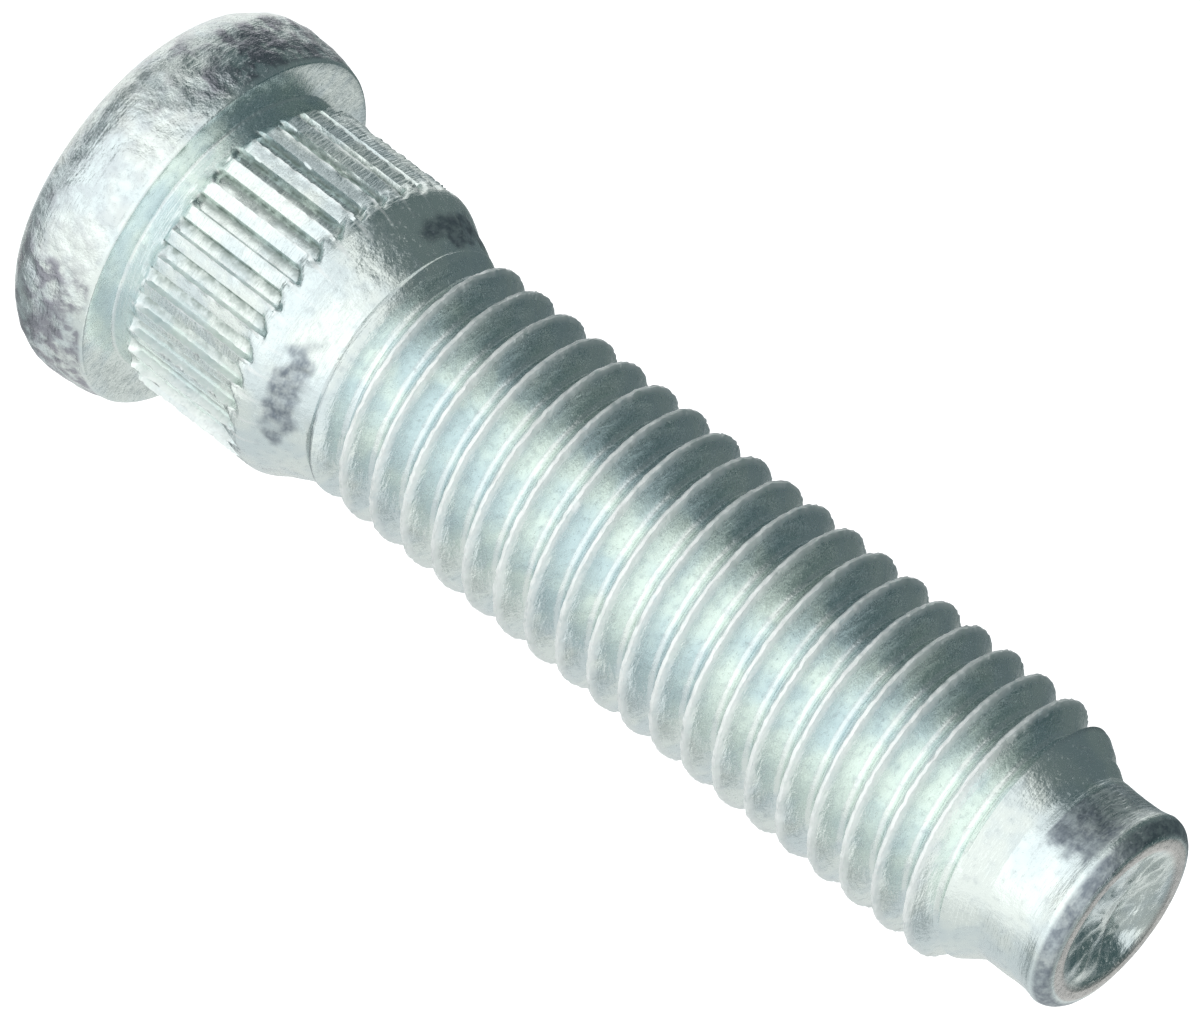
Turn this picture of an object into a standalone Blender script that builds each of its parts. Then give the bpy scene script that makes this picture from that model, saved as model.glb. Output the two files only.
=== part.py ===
"""Wheel stud: a press-in bolt with a round head, a splined shank, a rolled thread and a dog point.

The stud stands on its head. Z runs along its axis from the head to the dog point, and the origin
is the centre of the head's flat top, which rests on the floor. The real stud is one piece of
steel, so it is one closed skin here: level rings follow its turned and splined lengths, and the
thread's rows of points climb along the helix between two of those rings.
"""

from math import atan2, ceil, cos, inf, pi, radians, sin, tan

import bmesh
import bpy

MM = 0.001

# Head: a flat top with a rounded edge, a barrelled side and a flat bearing face
HEAD_DIAMETER = 20.64 * MM
HEAD_HEIGHT = 5.25 * MM
HEAD_WIDEST_HEIGHT = 2.35 * MM
HEAD_TOP_DRAW_IN = 1.3 * MM
HEAD_SIDE_DRAFT = 0.42 * MM
BEARING_EDGE_BREAK = 0.15 * MM

# Shank blank: the plain neck under the head, with the splines rolled into it further on
SHANK_DIAMETER = 15.54 * MM
NECK_LENGTH = 1.0 * MM
NECK_FILLET = 0.2 * MM

# Rolled splines that bite into the hub's hole: they rise above the blank and sink below it
SPLINE_COUNT = 34
SPLINE_LENGTH = 7.6 * MM
SPLINE_RISE = 0.36 * MM
SPLINE_SINK = 0.1 * MM
SPLINE_LAND_SHARE = 0.56
SPLINE_FLOOR_SHARE = 0.2
SPLINE_RUN_IN = 0.7 * MM
SPLINE_RUN_OUT = 0.6 * MM

# Shoulder: a large round and a cone from the blank down to the thread
SHOULDER_ROUND = 3.5 * MM
SHOULDER_ANGLE = radians(25.0)

# Rolled right-hand metric thread, from the end of the shoulder to the waist of the dog point
THREAD_DIAMETER = 13.86 * MM
THREAD_PITCH = 2.0 * MM
THREAD_LENGTH = 42.17 * MM
THREAD_FLANK_ANGLE = radians(30.0)
THREAD_CREST_SHARE = 0.125
THREAD_ROOT_SHARE = 0.2
THREAD_START_DROP = 0.18 * MM
THREAD_START_ANGLE = radians(219.0)
THREAD_RUN_IN = 1.6 * MM
THREAD_END_ANGLE = radians(28.4)

# Dog point: a plain pilot with a waist, a flared and rounded rim, and a dished end
POINT_DIAMETER = 10.74 * MM
POINT_WAIST = 0.16 * MM
POINT_LENGTH = 3.7 * MM
POINT_FLARE_LENGTH = 1.0 * MM
POINT_RIM_ROUND = 0.95 * MM
POINT_END_FLAT = 0.4 * MM
DISH_DEPTH = 0.6 * MM

# Facets round the axis
HEAD_SIDES = 68
THREAD_SIDES = 36
POINT_SIDES = 48

# Bright zinc plate
ZINC_COLOUR = (0.71, 0.75, 0.76, 1.0)
ZINC_ROUGHNESS = 0.3
SHARP_EDGE_ANGLE = radians(32.0)

# Heights and radii that follow from the sizes above
SPLINE_START = HEAD_HEIGHT + NECK_LENGTH
SPLINE_END = SPLINE_START + SPLINE_LENGTH
SHANK_RADIUS = SHANK_DIAMETER / 2
CREST_RADIUS = THREAD_DIAMETER / 2
THREAD_START_RADIUS = CREST_RADIUS - THREAD_START_DROP
SHOULDER_ROUND_DROP = SHOULDER_ROUND * (1.0 - cos(SHOULDER_ANGLE))
SHOULDER_CONE_DROP = SHANK_RADIUS - SHOULDER_ROUND_DROP - THREAD_START_RADIUS
SHOULDER_CONE_START = SPLINE_END + SHOULDER_ROUND * sin(SHOULDER_ANGLE)
THREAD_START = SHOULDER_CONE_START + SHOULDER_CONE_DROP / tan(SHOULDER_ANGLE)
THREAD_END = THREAD_START + THREAD_LENGTH
THREAD_FLANK_SHARE = (1.0 - THREAD_CREST_SHARE - THREAD_ROOT_SHARE) / 2
THREAD_DEPTH = THREAD_PITCH * THREAD_FLANK_SHARE / tan(THREAD_FLANK_ANGLE)
WAIST_RADIUS = POINT_DIAMETER / 2 - POINT_WAIST
STUD_LENGTH = THREAD_END + POINT_LENGTH

# One turn of the thread's section: the place of each corner in pitches and its depth below the crest
THREAD_CORNERS = (
    (-THREAD_CREST_SHARE / 2, 0.0),
    (THREAD_CREST_SHARE / 2, 0.0),
    (THREAD_CREST_SHARE / 2 + THREAD_FLANK_SHARE, THREAD_DEPTH),
    (THREAD_CREST_SHARE / 2 + THREAD_FLANK_SHARE + THREAD_ROOT_SHARE, THREAD_DEPTH),
)

# One spline's section: the place of each corner in spline widths and its height above the blank
SPLINE_CORNERS = (
    (SPLINE_LAND_SHARE / 2, SPLINE_RISE),
    (0.5 - SPLINE_FLOOR_SHARE / 2, -SPLINE_SINK),
    (0.5 + SPLINE_FLOOR_SHARE / 2, -SPLINE_SINK),
    (1.0 - SPLINE_LAND_SHARE / 2, SPLINE_RISE),
)


def clear_scene():
    """Remove every object of the scene that is open."""
    for thing in list(bpy.data.objects):
        bpy.data.objects.remove(thing, do_unlink=True)


def arc_points(centre_radius, centre_height, arc_radius, start, end, steps):
    """Points (radius, height) of an arc in the turned profile; angle 0 points away from the axis."""
    points = []
    for step in range(steps + 1):
        turn = start + (end - start) * step / steps
        points.append((centre_radius + arc_radius * cos(turn), centre_height + arc_radius * sin(turn)))
    return points


def head_arc(rise, draw_in, steps):
    """The arc that leaves the head's widest point along the axis and ends drawn in at the rise."""
    arc_radius = (rise ** 2 + draw_in ** 2) / (2.0 * draw_in)
    sweep = 2.0 * atan2(draw_in, rise)
    return arc_points(HEAD_DIAMETER / 2 - arc_radius, HEAD_WIDEST_HEIGHT, arc_radius, 0.0, sweep, steps)


def head_profile():
    """The head's turned profile, from the rim of its flat top to the plain neck."""
    top_round = [
        (radius, 2.0 * HEAD_WIDEST_HEIGHT - height)
        for radius, height in head_arc(HEAD_WIDEST_HEIGHT, HEAD_TOP_DRAW_IN, 5)
    ]
    side = head_arc(HEAD_HEIGHT - BEARING_EDGE_BREAK - HEAD_WIDEST_HEIGHT, HEAD_SIDE_DRAFT, 4)
    bearing_rim = (side[-1][0] - BEARING_EDGE_BREAK, HEAD_HEIGHT)
    fillet = arc_points(
        SHANK_RADIUS + NECK_FILLET, HEAD_HEIGHT + NECK_FILLET, NECK_FILLET, -pi / 2, -pi, 3
    )
    return top_round[::-1] + side[1:] + [bearing_rim] + fillet


def shoulder_profile():
    """The large round behind the splines and the first point of the cone that follows it."""
    return arc_points(
        SHANK_RADIUS - SHOULDER_ROUND, SPLINE_END, SHOULDER_ROUND, 0.0, SHOULDER_ANGLE, 5
    )[1:]


def point_profile():
    """The dog point's turned profile, from its waist to the floor of the dish in its end."""
    rim_radius = POINT_DIAMETER / 2 - POINT_RIM_ROUND
    rim_height = STUD_LENGTH - POINT_RIM_ROUND
    flare_start = rim_height - POINT_FLARE_LENGTH
    flare = []
    for share in (0.0, 0.4, 0.75):
        flare.append((WAIST_RADIUS + POINT_WAIST * share ** 2, flare_start + POINT_FLARE_LENGTH * share))
    rim = arc_points(rim_radius, rim_height, POINT_RIM_ROUND, 0.0, pi / 2, 5)
    dish_radius = rim_radius - POINT_END_FLAT
    dish = []
    for share in (1.0, 0.75, 0.5, 0.25):
        dish.append((dish_radius * share, STUD_LENGTH - DISH_DEPTH * (1.0 - share ** 2)))
    return flare + rim + dish


def level_ring(mesh, radius, height, sides):
    """A closed row of vertices round the axis, each keyed with its share of the turn."""
    row = []
    for side in range(sides):
        angle = 2.0 * pi * side / sides
        vert = mesh.verts.new((radius * cos(angle), radius * sin(angle), height))
        row.append((side / sides, vert))
    return row + [(1.0, row[0][1])]


def turned_rings(mesh, profile, sides):
    """One level ring for each point of a turned profile."""
    return [level_ring(mesh, radius, height, sides) for radius, height in profile]


def fill_strip(mesh, lower, upper):
    """Skin the strip between two rows with triangles, stepping on along the row that lags."""
    low = 0
    high = 0
    while low + 1 < len(lower) or high + 1 < len(upper):
        low_can_step = low + 1 < len(lower)
        high_can_step = high + 1 < len(upper)
        if low_can_step and (not high_can_step or lower[low + 1][0] <= upper[high + 1][0]):
            mesh.faces.new((lower[low][1], lower[low + 1][1], upper[high][1]))
            low += 1
        else:
            mesh.faces.new((lower[low][1], upper[high + 1][1], upper[high][1]))
            high += 1


def skin_rings(mesh, rings):
    """Skin a stack of closed rings, given from the lowest to the highest."""
    for lower, upper in zip(rings, rings[1:]):
        fill_strip(mesh, lower, upper)


def spline_ring(mesh, height, growth):
    """A ring round all the splines, with growth 0 on the plain blank and 1 at full depth."""
    row = []
    for spline in range(SPLINE_COUNT):
        for place, rise in SPLINE_CORNERS:
            radius = SHANK_RADIUS + rise * growth
            turn_share = (spline + place) / SPLINE_COUNT
            angle = 2.0 * pi * turn_share
            vert = mesh.verts.new((radius * cos(angle), radius * sin(angle), height))
            row.append((turn_share, vert))
    return row + [(row[0][0] + 1.0, row[0][1])]


def spline_rings(mesh):
    """The splines from the neck to the shoulder, growing out of the blank and sinking back."""
    stations = (
        (SPLINE_START, 0.0),
        (SPLINE_START + SPLINE_RUN_IN / 2, 0.7),
        (SPLINE_START + SPLINE_RUN_IN, 1.0),
        (SPLINE_END - SPLINE_RUN_OUT, 1.0),
        (SPLINE_END - SPLINE_RUN_OUT / 2, 0.7),
        (SPLINE_END, 0.0),
    )
    return [spline_ring(mesh, height, growth) for height, growth in stations]


def thread_radius(depth, height):
    """The radius at a depth below the crest, where the thread grows in and is chamfered at its end."""
    growth = min((height - THREAD_START) / THREAD_RUN_IN, 1.0)
    grown = THREAD_START_RADIUS + (CREST_RADIUS - depth - THREAD_START_RADIUS) * growth
    chamfer = WAIST_RADIUS + (THREAD_END - height) * tan(THREAD_END_ANGLE)
    return min(grown, chamfer)


def thread_column(mesh, angle, foot, top):
    """The thread's section at one angle, between a vertex of its foot ring and one of its top ring.

    Each point is keyed with its number along the helix, which the neighbouring columns share.
    """
    clearance = THREAD_PITCH * THREAD_CREST_SHARE / 4
    climb = (angle - THREAD_START_ANGLE) / (2.0 * pi)
    column = [(-inf, foot)]
    for turn in range(-1, ceil(THREAD_LENGTH / THREAD_PITCH) + 2):
        for corner, (place, depth) in enumerate(THREAD_CORNERS):
            height = THREAD_START + THREAD_PITCH * (turn + climb + place)
            if THREAD_START + clearance < height < THREAD_END - clearance:
                radius = thread_radius(depth, height)
                vert = mesh.verts.new((radius * cos(angle), radius * sin(angle), height))
                column.append((turn * len(THREAD_CORNERS) + corner, vert))
    return column + [(inf, top)]


def skin_thread(mesh, foot_ring, top_ring):
    """Skin the thread between two level rings, from column to column round the axis."""
    columns = []
    for side in range(THREAD_SIDES):
        angle = 2.0 * pi * side / THREAD_SIDES
        columns.append(thread_column(mesh, angle, foot_ring[side][1], top_ring[side][1]))
    columns.append([(key - len(THREAD_CORNERS), vert) for key, vert in columns[0]])
    for left, right in zip(columns, columns[1:]):
        fill_strip(mesh, right, left)


def build_stud_mesh():
    """The whole stud as one closed skin."""
    mesh = bmesh.new()
    head_rings = turned_rings(mesh, head_profile(), HEAD_SIDES)
    shoulder_rings = turned_rings(mesh, shoulder_profile(), HEAD_SIDES)
    thread_foot = level_ring(mesh, THREAD_START_RADIUS, THREAD_START, THREAD_SIDES)
    thread_top = level_ring(mesh, WAIST_RADIUS, THREAD_END, THREAD_SIDES)
    point_rings = turned_rings(mesh, point_profile(), POINT_SIDES)

    mesh.faces.new([vert for key, vert in reversed(head_rings[0][:-1])])
    skin_rings(mesh, head_rings + spline_rings(mesh) + shoulder_rings + [thread_foot])
    skin_thread(mesh, thread_foot, thread_top)
    skin_rings(mesh, [thread_top] + point_rings)
    mesh.faces.new([vert for key, vert in point_rings[-1][:-1]])

    data = bpy.data.meshes.new("wheel_stud")
    mesh.to_mesh(data)
    mesh.free()
    data.shade_smooth()
    data.set_sharp_from_angle(angle=SHARP_EDGE_ANGLE)
    return data


def zinc_plate():
    """Bright zinc plate on steel."""
    material = bpy.data.materials.new("zinc_plated_steel")
    material.use_nodes = True
    shader = material.node_tree.nodes["Principled BSDF"]
    shader.inputs["Base Color"].default_value = ZINC_COLOUR
    shader.inputs["Roughness"].default_value = ZINC_ROUGHNESS
    shader.inputs["Metallic"].default_value = 1.0
    return material


def build_stud():
    """Add the finished stud to the scene, standing on its head at the origin."""
    stud = bpy.data.objects.new("wheel_stud", build_stud_mesh())
    stud.data.materials.append(zinc_plate())
    bpy.context.collection.objects.link(stud)


clear_scene()
build_stud()
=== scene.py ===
"""Wheel stud: the dressed model of a zinc-plated press-in stud with splines, thread and dog point.

The stud stands on its head on a pale floor. Z runs along its axis, from the flat top of the head at
z = 0 to the dished end of the dog point. Its whole skin is one closed mesh: the turned lengths are
extruded from a circle, the thread is swept with a screw and cut off at both ends, and the splines,
burrs and forging marks are vertex moves on that skin.
"""

from math import atan2, cos, pi, radians, sin, tan

import bmesh
import bpy
import numpy as np
from bpy.props import FloatProperty, FloatVectorProperty, IntProperty, PointerProperty
from mathutils import Matrix, Vector, noise


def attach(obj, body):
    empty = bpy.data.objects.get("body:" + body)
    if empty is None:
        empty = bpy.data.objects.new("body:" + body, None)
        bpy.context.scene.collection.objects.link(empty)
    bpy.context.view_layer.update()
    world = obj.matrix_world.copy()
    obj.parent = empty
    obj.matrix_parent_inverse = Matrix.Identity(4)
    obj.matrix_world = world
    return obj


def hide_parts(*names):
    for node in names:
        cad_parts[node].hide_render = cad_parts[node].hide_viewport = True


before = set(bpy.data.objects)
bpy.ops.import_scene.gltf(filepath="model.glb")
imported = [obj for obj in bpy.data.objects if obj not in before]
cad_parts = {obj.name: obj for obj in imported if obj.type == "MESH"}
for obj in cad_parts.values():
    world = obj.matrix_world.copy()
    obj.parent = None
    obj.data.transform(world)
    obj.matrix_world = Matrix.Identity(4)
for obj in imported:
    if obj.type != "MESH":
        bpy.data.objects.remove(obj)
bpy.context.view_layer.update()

bl_info = {
    "name": "Wheel Stud",
    "version": (1, 0, 0),
    "blender": (4, 5, 0),
    "location": "View3D > Sidebar > Wheel Stud",
    "description": "Models a zinc-plated wheel stud and its studio",
    "category": "Add Mesh",
}

MM = 0.001
TURN = 2.0 * pi
FRONT_ANGLE = radians(270.0)


def length(name, description, millimetres):
    """A length property with its default given in millimetres."""
    return FloatProperty(
        name=name, description=description, default=millimetres * MM, unit="LENGTH", precision=5
    )


def colour(name, description, value):
    """A colour property without alpha."""
    return FloatVectorProperty(
        name=name, description=description, default=value, size=3, min=0.0, max=1.0, subtype="COLOR"
    )


class StudShape(bpy.types.PropertyGroup):
    """Sizes of the stud. The root's round and the end chamfer are finer than those of its solid."""

    head_diameter: length("Head diameter", "Widest diameter of the barrelled head", 20.64)
    head_height: length("Head height", "From the head's flat top to its bearing face", 5.25)
    head_widest_height: length("Widest height", "Height at which the head is widest", 2.35)
    head_top_draw_in: length("Top draw-in", "How far the head's round draws in at its flat top", 1.3)
    head_side_draft: length("Side draft", "How far the head's side draws in at the bearing face", 0.42)
    bearing_edge_break: length("Edge break", "Size of the broken edge of the bearing face", 0.15)
    shank_diameter: length("Shank diameter", "Diameter of the blank under the head", 15.54)
    neck_length: length("Neck length", "Plain length between the head and the splines", 1.0)
    neck_fillet: length("Neck fillet", "Radius between the bearing face and the neck", 0.2)
    spline_count: IntProperty(
        name="Splines", description="Number of splines round the shank", default=34, min=8
    )
    spline_length: length("Spline length", "From the neck to the shoulder", 7.6)
    spline_rise: length("Spline rise", "Height of the lands above the blank", 0.36)
    spline_sink: length("Spline sink", "Depth of the grooves below the blank", 0.1)
    shoulder_round: length("Shoulder round", "Radius of the round behind the splines", 3.5)
    shoulder_angle: FloatProperty(
        name="Shoulder angle",
        description="Angle between the shoulder's cone and the axis",
        default=radians(25.0),
        subtype="ANGLE",
    )
    thread_diameter: length("Thread diameter", "Diameter over the crests", 13.86)
    thread_pitch: length("Pitch", "Distance between two crests", 2.0)
    thread_length: length("Thread length", "From the shoulder to the waist of the point", 42.17)
    thread_root_radius: length("Root radius", "Radius of the rounded thread root", 0.3)
    thread_start_drop: length("Start drop", "How far the cone ends below the crests", 0.18)
    thread_run_in: length("Run-in", "Length over which the thread grows to its full depth", 1.6)
    thread_start_angle: FloatProperty(
        name="Start angle",
        description="Angle round the axis at which a crest meets the end of the shoulder",
        default=radians(219.0),
        subtype="ANGLE",
    )
    thread_end_angle: FloatProperty(
        name="End chamfer angle",
        description="Angle between the chamfer at the thread's end and the axis",
        default=radians(33.0),
        subtype="ANGLE",
    )
    point_diameter: length("Point diameter", "Diameter of the dog point's rim", 10.74)
    point_waist: length("Point waist", "How far the dog point's waist sinks below its rim", 0.16)
    point_length: length("Point length", "From the end of the thread to the end of the stud", 3.7)
    point_flare_length: length("Flare length", "Length over which the point widens to its rim", 1.0)
    point_rim_round: length("Rim round", "Radius of the dog point's rim", 0.95)
    point_end_flat: length("End flat", "Width of the flat ring round the dish", 0.4)
    dish_depth: length("Dish depth", "Depth of the dish in the end of the point", 0.6)


class ZincFinish(bpy.types.PropertyGroup):
    """Colours of the zinc plate."""

    pale_zinc: colour("Pale zinc", "Colour of the clean, pale plate", (0.84, 0.92, 0.88))
    cool_zinc: colour("Cool zinc", "Colour of the cooler patches", (0.72, 0.82, 0.83))
    grey_zinc: colour("Grey zinc", "Colour of the fine grey mottling", (0.52, 0.58, 0.6))
    # Dark zinc fills the scuffed patches on the shoulder, and is also laid as painted shade and a
    # painted dark reflection
    dark_zinc_and_shade: colour("Dark zinc", "Colour of the dark, scuffed patches", (0.23, 0.27, 0.31))
    # Violet zinc is the scorch colour, laid as painted shade where it is strong to the left and right of
    # the head
    violet_zinc: colour("Violet zinc", "Colour of the scorched forging marks", (0.3, 0.3, 0.35))
    # Groove zinc: dull zinc in the grooves, made darker as painted shade in these recesses
    groove_zinc_and_shade: colour("Groove zinc", "Colour of the dull spline grooves", (0.29, 0.35, 0.32))
    # Highlight zinc is a painted highlight along the crests and burred lips
    bright_zinc: colour("Bright zinc", "Colour of the burred crests and edges", (0.92, 0.96, 0.95))
    brown_zinc: colour("Brown zinc", "Colour of the rubbed ring round the dish", (0.55, 0.5, 0.47))


class StudioSettings(bpy.types.PropertyGroup):
    """The studio's floor and light."""

    floor_size: FloatProperty(
        name="Floor size", description="Side of the square floor", default=8.0, unit="LENGTH"
    )
    floor_colour: colour("Floor colour", "Colour of the pale floor", (0.9, 0.9, 0.9))
    floor_lift: FloatProperty(
        name="Floor lift", description="How much of its own white the floor shows", default=0.75
    )
    world_level: FloatProperty(
        name="World level", description="Strength of the white studio all round", default=1.0
    )
    flag_colour: colour("Flag colour", "Colour of the dark teal flags", (0.012, 0.05, 0.055))
    lamp_power: FloatProperty(
        name="Lamp power", description="Power of the soft box in front, in watts", default=2.3
    )


# Soft-edged flags that shade the white studio for the metal, in degrees: azimuth from the camera's
# side towards -X, elevation, half width, half height, and how much of the white each one takes away
STUDIO_FLAGS = (
    (115.0, 22.0, 74.0, 55.0, 0.88),
    (178.0, 50.0, 60.0, 22.0, 0.6),
    (-128.0, 6.0, 58.0, 36.0, 0.28),
    (-130.0, -48.0, 46.0, 28.0, 0.68),
    (30.0, -74.0, 95.0, 26.0, 0.8),
    (75.0, -24.0, 50.0, 20.0, 0.52),
)
FLAG_DISTANCE = 900.0 * MM
FLAG_CUTS = 24
FLAG_SOFT_EDGE = 0.33
FLAG_STEEPEST = 89.5

# The soft box in front, and the floor
LAMP_AZIMUTH = radians(-16.0)
LAMP_DISTANCE = 1200.0 * MM
LAMP_SIZE = 1700.0 * MM
FLOOR_CUTS = 3
FLOOR_ROUGHNESS = 0.9

# The photograph's view
VIEW_ELEVATION = radians(22.6)
VIEW_ROLL = radians(37.512)
VIEW_DISTANCE = 576.83 * MM
VIEW_RIGHT = 18.006 * MM
VIEW_UP = -13.236 * MM
VIEW_HEIGHT = 5.25 * MM
VIEW_LENS = 360.0
VIEW_SENSOR = 36.0
VIEW_NEAREST = 10.0 * MM

# Columns of the skin round the axis; those of a spline are places across its pitch
SPLINE_COLUMNS = (0.0, 0.1, 0.17, 0.21, 0.26, 0.33, 0.44, 0.56, 0.66, 0.72, 0.78, 0.88)
THREAD_COLUMNS = 172
POINT_COLUMNS = 160

# Steps from ring to ring along the skin, from the head to the dish
HEAD_SIDE_STEPS = 14
EDGE_BREAK_STEPS = 4
BEARING_FACE_STEPS = 5
FILLET_STEPS = 5
NECK_STEPS = 4
RUN_IN_STEPS = 6
SPLINE_STEPS = 28
RUN_OUT_STEPS = 9
SHOULDER_STEPS = 8
CONE_STEPS = 7
FLANK_STEPS = 3
WAIST_STEPS = 15
FLARE_STEPS = 8
RIM_STEPS = 12
END_FLAT_STEPS = 3
DISH_STEPS = 12
WELD = 0.001 * MM
SMOOTH_ANGLE = radians(40.0)

# The smooth noise: how far apart two seeds lie, and the span of its fractal sum
SEED_STEPS = (17.3, 5.9, 31.7)
GRAIN_SPAN = 1.5

# The forged side of the head: heights over which it begins, lengths from the bearing face over which it
# ends, its depths, and its lumps as size, seed and depth
FORGED_START = (0.0, 0.6 * MM)
FORGED_END = (-0.4 * MM, -0.05 * MM)
FORGED_DEPTH = 0.06 * MM
FORGED_DEEPEST = 0.17 * MM
FORGED_LUMPS = ((2.4 * MM, 11, 0.05 * MM), (1.0 * MM, 21, 0.085 * MM), (0.5 * MM, 23, 0.035 * MM))

# The scorch colour on the head's side, in radians from the camera's side: it is faint in front, and
# strong to the left and right as painted shade; it gives way to a painted highlight rim round the flat
# top
SIDE_SHADE_LEFT = (0.4, 0.75)
SIDE_SHADE_RIGHT = (0.5, 0.85)
PAINTED_LIGHT_WANDER = 0.5
SCORCH_IN_FRONT = 0.3
RIM_HIGHLIGHT_TURN = (0.5, 0.8)
RIM_HIGHLIGHT_HEIGHT = (1.4 * MM, 2.1 * MM)
RIM_HIGHLIGHT_SHARE = 0.8

# The rolled section of the splines, in shares of their pitch: how far they are turned round the shank,
# the groove's steep wall, the slope up out of it, and the burred lip beside the slope
SPLINE_TURN = 0.3
GROOVE_WALL = (0.17, 0.25)
GROOVE_SLOPE = (0.27, 0.65)
GROOVE_WALL_JAG = 0.03
GROOVE_SLOPE_JAG = 0.05
LIP_PLACE = 0.7
LIP_WIDTH = 0.05
LIP_RISE = 0.04 * MM
LIP_TEAR = 0.2 * MM
LIP_LIMIT = 0.05 * MM
LAND_FALL = 0.4 * MM
LAND_JAG = 0.03 * MM

# The splines along the shank, as lengths past their start or before their end
SPLINE_RUN_IN = 0.7 * MM
SPLINE_RUN_OUT = 1.0 * MM
SHANK_BEFORE_SPLINES = 0.35 * MM
SHANK_PAST_SPLINES = 1.6 * MM
COLUMNS_START = (-0.3 * MM, 0.0)
COLUMNS_END = (-0.4 * MM, 0.0)
LAND_START = (0.0, 0.45 * MM)
LAND_END = (-1.4 * MM, 0.2 * MM)
GROOVE_START = (-0.15 * MM, 0.45 * MM)
GROOVE_START_LAG = 1.3 * MM
GROOVE_LAG_PLACE = 0.35
GROOVE_LAG_WIDTH = 0.4
GROOVE_END = (0.0, 0.55 * MM)
GROOVE_END_SLANT = 1.2 * MM
HOOK_END = (0.1 * MM, 1.1 * MM)
HOOK_SHARE = 0.16
RAGGED_END = 0.2 * MM
RAGGED_START_GAIN = 1.5

# Noise on the splines: how much height counts as one radius, and for the ragged ends, the torn lip and
# the jagged walls the squeeze along the shank, the size in shares of the radius, and the seed
SPLINE_NOISE_HEIGHT = 2.0 * MM
SPLINE_NOISES = ((1.0, 0.09, 3), (3.0, 0.12, 5), (6.0, 0.3, 7))

# The rough band on the shoulder, as lengths past the splines, and its stains, as turn from the camera's
# side in radians, length past the splines, half width in radians and half length
BAND_START = (0.7 * MM, 1.2 * MM)
BAND_END = (2.3 * MM, 2.8 * MM)
BAND_LIMIT = 2.95 * MM
BAND_FRAY = 0.5 * MM
BAND_DEPTH = 0.04 * MM
BAND_TEAR = 0.16 * MM
BAND_PLAIN_TEAR = 0.3
BAND_DEEPEST = 0.15 * MM
BAND_ROUGHNESS = 0.5
SHOULDER_STAINS = ((-0.65, 1.7 * MM, 0.42, 0.75 * MM), (1.4, 1.9 * MM, 0.5, 0.9 * MM))
STAIN_EDGE = (0.4, 1.5)
STAIN_FRAY = 1.4
FAR_STAINS = (0.05, 0.4)
FAR_SIDE = (1.9, 2.4)

# The thread's section, its run-in and its ends
FLANK_ANGLE = radians(30.0)
CREST_HALF_SHARE = 0.04
ROOT_ARC = (radians(60.0), radians(30.0), 0.0)
THREAD_GROWTH = 0.6
THREAD_MARGIN_TURNS = 2
THREAD_END_GAP = 0.06 * MM
CHAMFER_END_GAP = 0.53 * MM

# The rolled crests: how they fade at the thread's ends, how far down they and the painted shade line on
# their head side reach, and how ragged they are
CREST_ENDS = (0.0, 1.0 * MM)
CREST_EDGE = (0.02 * MM, 0.08 * MM)
FLANK_SHADE_START = (0.04 * MM, 0.09 * MM)
FLANK_SHADE_END = (0.3 * MM, 0.55 * MM)
CREST_DEPTH = 0.02 * MM
CREST_TEAR = 0.1 * MM
CREST_DEEPEST = 0.09 * MM
CREST_WANDER = 0.07 * MM

# The dish, with its creased floor and the rubbed ring round it, in shares of its radius
DISH_FLOOR = (0.7, 0.98)
DISH_ROUND = 3.0
FINE_CREASES = 0.6
CREASE_DEPTH = 0.5 * MM
CREASE_LIFT = 0.08 * MM
RUBBED_RING = (0.93, 1.0)
END_FACE = 0.01 * MM

# The dog point's uneven side, the painted shade on its rim as lengths from the end, and its painted
# dark reflection as turns from the camera's side in radians and lengths past the thread
POINT_SIDE_START = (0.0, 0.12 * MM)
POINT_DEPTH = 0.02 * MM
POINT_LUMPS = 0.05 * MM
POINT_DEEPEST = 0.08 * MM
RIM_SHADE_START = (0.03 * MM, 0.1 * MM)
RIM_SHADE_END = (0.6 * MM, 0.82 * MM)
POINT_REFLECTION_WANDER = 0.12
POINT_REFLECTION_NEAR = (0.14, 0.24)
POINT_REFLECTION_MIDDLE = (0.66, 0.8)
POINT_REFLECTION_THIN = 0.5
POINT_REFLECTION_FAR = (1.3, 1.5)
POINT_REFLECTION_START = (0.0, 0.12 * MM)
POINT_REFLECTION_END = (2.5 * MM, 2.8 * MM)
POINT_REFLECTION_END_WANDER = 2.0 * MM

# Noise patterns of the zinc plate: lumps a metre, detail, roughness and stretch
PLATE_PATTERNS = {
    "patches": (300.0, 3.0, 0.6, None),
    "mottle": (2400.0, 4.0, 0.65, None),
    "lumps": (1100.0, 4.0, 0.6, None),
    "streaks": (1500.0, 5.0, 0.7, (1.0, 1.0, 1.6)),
    "scratches": (900.0, 3.0, 0.6, (1.0, 1.0, 9.0)),
    "specks": (5200.0, 3.0, 0.6, None),
    "grain": (6500.0, 2.0, 0.6, None),
}
PLATE_MARKS = ("scorch", "groove", "back", "dark", "crest", "lip", "rubbed", "forged")

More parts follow.
